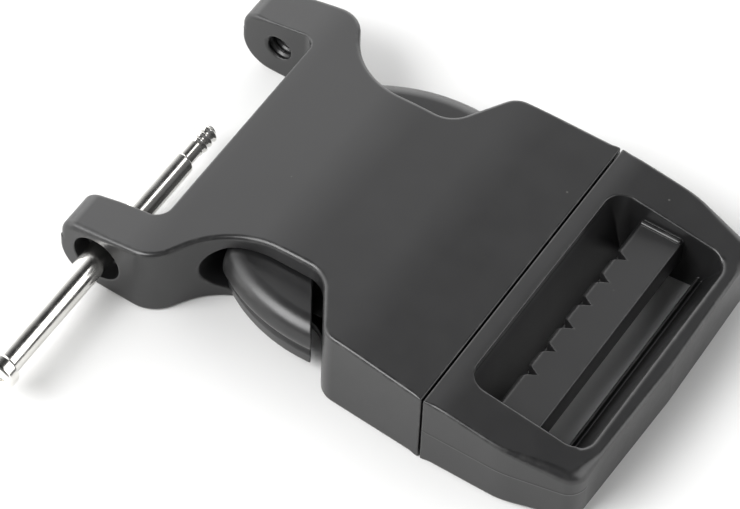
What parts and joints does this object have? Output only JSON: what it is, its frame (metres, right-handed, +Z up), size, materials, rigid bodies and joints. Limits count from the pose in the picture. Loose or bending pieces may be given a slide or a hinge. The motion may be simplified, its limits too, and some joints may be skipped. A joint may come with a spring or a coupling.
{
  "type": "side release buckle",
  "caption": "Fastened side release buckle for 25 mm webbing, with a screw pin across the socket's ears and a toothed webbing bar in the other half.",
  "frame": {"origin": "middle of the flat underside, midway between the ear tips and the end of the frame", "axes": "+X across the strap along the pin, from the ear with the head to the threaded ear; +Y along the strap to the ears; +Z up, through the thickness"},
  "size_m": [0.0529, 0.0572, 0.0099],
  "materials": {
    "socket_plastic": "satin black moulded acetal, fine mould texture",
    "insert_plastic": "satin black moulded acetal, fine mould texture",
    "pin_steel": "turned steel, nickel plated, bright"
  },
  "bodies": {
    "buckle": {"socket_body": "socket_plastic", "prong_insert": "insert_plastic"},
    "pin": {"screw_pin": "pin_steel"}
  },
  "joints": [
    {"name": "pin_slide", "type": "slide", "parent": "buckle", "child": "pin", "axis": [1, 0, 0], "range_m": [-0.016, 0.0169]}
  ]
}
